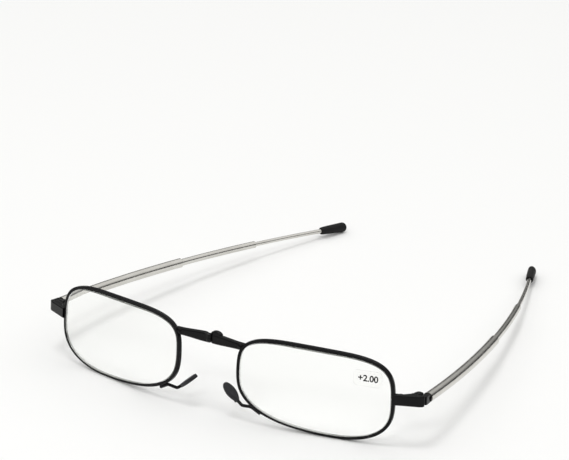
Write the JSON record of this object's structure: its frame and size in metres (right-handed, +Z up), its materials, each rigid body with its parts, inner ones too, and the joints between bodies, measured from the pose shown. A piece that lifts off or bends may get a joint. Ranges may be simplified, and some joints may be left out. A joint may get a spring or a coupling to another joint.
{
  "type": "folding reading glasses",
  "caption": "Pocket reading glasses with thin wire rims, a folding bridge and curved telescoping arms that fold behind the lenses.",
  "frame": {"origin": "centre of the bounding box at the level of the surface the glasses stand on", "axes": "+Z up; +X to the right seen from the front; +Y from the lenses towards the arm tips. Stored open, with the arms pulled out, leaning back onto the arm tips"},
  "size_m": [0.1306, 0.1362, 0.0266],
  "materials": {
    "black_enamel": "gloss black enamel",
    "lens": "clear polished plastic lens",
    "screws": "blackened steel",
    "nose_pads": "matt charcoal silicone",
    "steel_tubes": "polished stainless steel",
    "collars": "plain brass",
    "arm_tips": "matt black rubber",
    "label_film": "clear film with a printed power"
  },
  "bodies": {
    "left_front": {"left_rim": "black_enamel", "left_lens": "lens", "left_rim_lock": "black_enamel", "left_rim_screw": "screws", "left_bridge_half": "black_enamel", "left_pad_arm": "black_enamel", "left_nose_pad": "nose_pads", "left_endpiece": "black_enamel", "left_hinge_screw": "screws", "bridge_pin": "screws"},
    "left_arm": {"left_hinge_block": "black_enamel", "left_outer_tube": "steel_tubes"},
    "left_middle": {"left_middle_tube": "steel_tubes", "left_middle_collar": "collars"},
    "left_inner": {"left_inner_rod": "steel_tubes", "left_inner_collar": "collars", "left_arm_tip": "arm_tips"},
    "right_front": {"right_rim": "black_enamel", "right_lens": "lens", "right_rim_lock": "black_enamel", "right_rim_screw": "screws", "right_bridge_half": "black_enamel", "right_pad_arm": "black_enamel", "right_nose_pad": "nose_pads", "right_endpiece": "black_enamel", "right_hinge_screw": "screws", "power_label": "label_film"},
    "right_arm": {"right_hinge_block": "black_enamel", "right_outer_tube": "steel_tubes"},
    "right_middle": {"right_middle_tube": "steel_tubes", "right_middle_collar": "collars"},
    "right_inner": {"right_inner_rod": "steel_tubes", "right_inner_collar": "collars", "right_arm_tip": "arm_tips"}
  },
  "joints": [
    {"name": "bridge_fold", "type": "hinge", "parent": "left_front", "child": "right_front", "pos_m": [0, -0.06633, 0.02321], "axis": [0, -0.1024, -0.9947], "range_deg": [0, 172]},
    {"name": "left_arm_fold", "type": "hinge", "parent": "left_front", "child": "left_arm", "pos_m": [-0.0619, -0.05324, 0.01412], "axis": [-0.0436, -0.1023, -0.9938], "range_deg": [0, 78]},
    {"name": "left_middle_slide", "type": "hinge", "parent": "left_arm", "child": "left_middle", "pos_m": [0.28552, -0.07246, 0.0161], "axis": [0, 0.1024, 0.9947], "range_deg": [0, 5.07]},
    {"name": "left_inner_slide", "type": "hinge", "parent": "left_middle", "child": "left_inner", "pos_m": [0.28552, -0.07246, 0.0161], "axis": [0, 0.1024, 0.9947], "range_deg": [0, 4.34]},
    {"name": "right_arm_fold", "type": "hinge", "parent": "right_front", "child": "right_arm", "pos_m": [0.0619, -0.05324, 0.01412], "axis": [-0.0436, 0.1023, 0.9938], "range_deg": [0, 78]},
    {"name": "right_middle_slide", "type": "hinge", "parent": "right_arm", "child": "right_middle", "pos_m": [-0.28552, -0.07246, 0.0161], "axis": [0, -0.1024, -0.9947], "range_deg": [0, 5.07]},
    {"name": "right_inner_slide", "type": "hinge", "parent": "right_middle", "child": "right_inner", "pos_m": [-0.28552, -0.07246, 0.0161], "axis": [0, -0.1024, -0.9947], "range_deg": [0, 4.34]}
  ]
}
